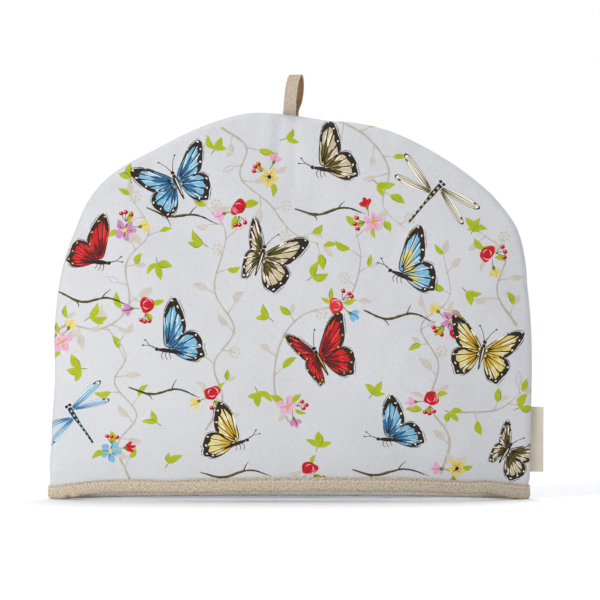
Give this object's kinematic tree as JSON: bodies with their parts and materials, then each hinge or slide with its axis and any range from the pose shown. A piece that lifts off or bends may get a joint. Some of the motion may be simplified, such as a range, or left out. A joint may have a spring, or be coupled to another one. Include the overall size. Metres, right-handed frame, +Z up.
{
  "type": "tea cosy",
  "caption": "Arched padded tea cosy with a printed cotton face, bound hem, hanging loop and blank side label, standing open on its hem.",
  "frame": {"origin": "on the resting surface, under the middle of the whole object's box", "axes": "+Z up towards the hanging loop, +X along the length of the hem towards the side label, -Y out of the front panel"},
  "size_m": [0.3502, 0.1112, 0.2995],
  "materials": {
    "printed_cotton": "printed plain-weave cotton over wadding, matt",
    "binding_cotton": "bias-cut cotton tape, matt",
    "loop_tape": "twill tape, matt",
    "label_tape": "smooth woven tape, nothing on it"
  },
  "bodies": {
    "root": {"front_panel": "printed_cotton", "back_panel": "printed_cotton", "hem_binding": "binding_cotton", "hanging_loop": "loop_tape", "side_label": "label_tape"}
  },
  "joints": []
}
